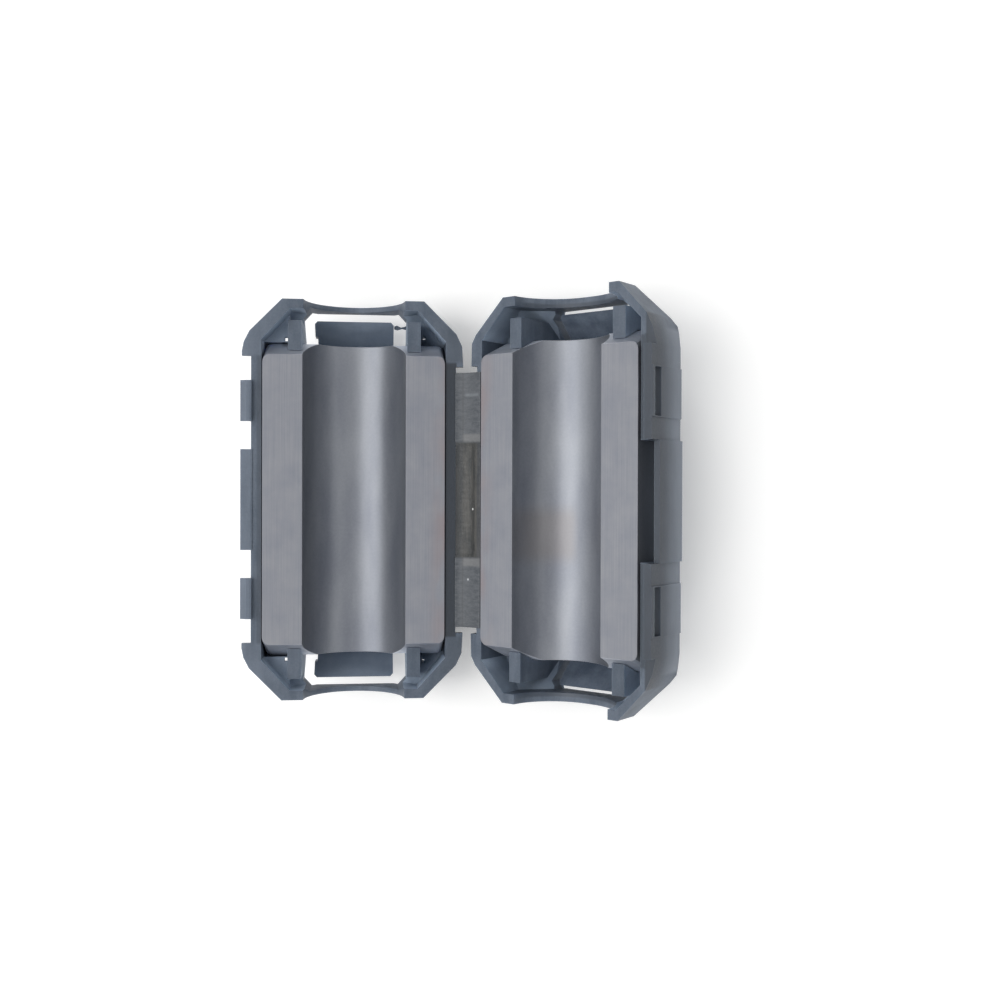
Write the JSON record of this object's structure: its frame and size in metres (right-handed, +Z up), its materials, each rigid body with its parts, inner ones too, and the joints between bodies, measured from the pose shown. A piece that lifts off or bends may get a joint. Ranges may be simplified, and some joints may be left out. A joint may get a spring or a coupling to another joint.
{
  "type": "clip-on ferrite bead",
  "caption": "Hinged clamshell case that snaps round a cable, with a half core of ferrite in each side; shown open.",
  "frame": {"origin": "on the axis of the cable's bore in the half that carries the catches, midway along the core", "axes": "+Y along the cable, +Z up as the open clip lies, +X from the catch half's bore towards the hinge and the hood half"},
  "size_m": [0.0391, 0.0352, 0.0144],
  "materials": {
    "case_plastic": "moulded dark blue-grey polyamide, satin",
    "ferrite": "sintered grey ferrite, ground mating faces, satin bore"
  },
  "bodies": {
    "hook_half": {"hook_shell": "case_plastic", "lower_core": "ferrite"},
    "hood_half": {"hood_shell": "case_plastic", "upper_core": "ferrite"}
  },
  "joints": [
    {"name": "film_hinge", "type": "hinge", "parent": "hook_half", "child": "hood_half", "pos_m": [0.00904, 0, -0.00365], "axis": [0, -1, 0], "range_deg": [-44, 136]}
  ]
}
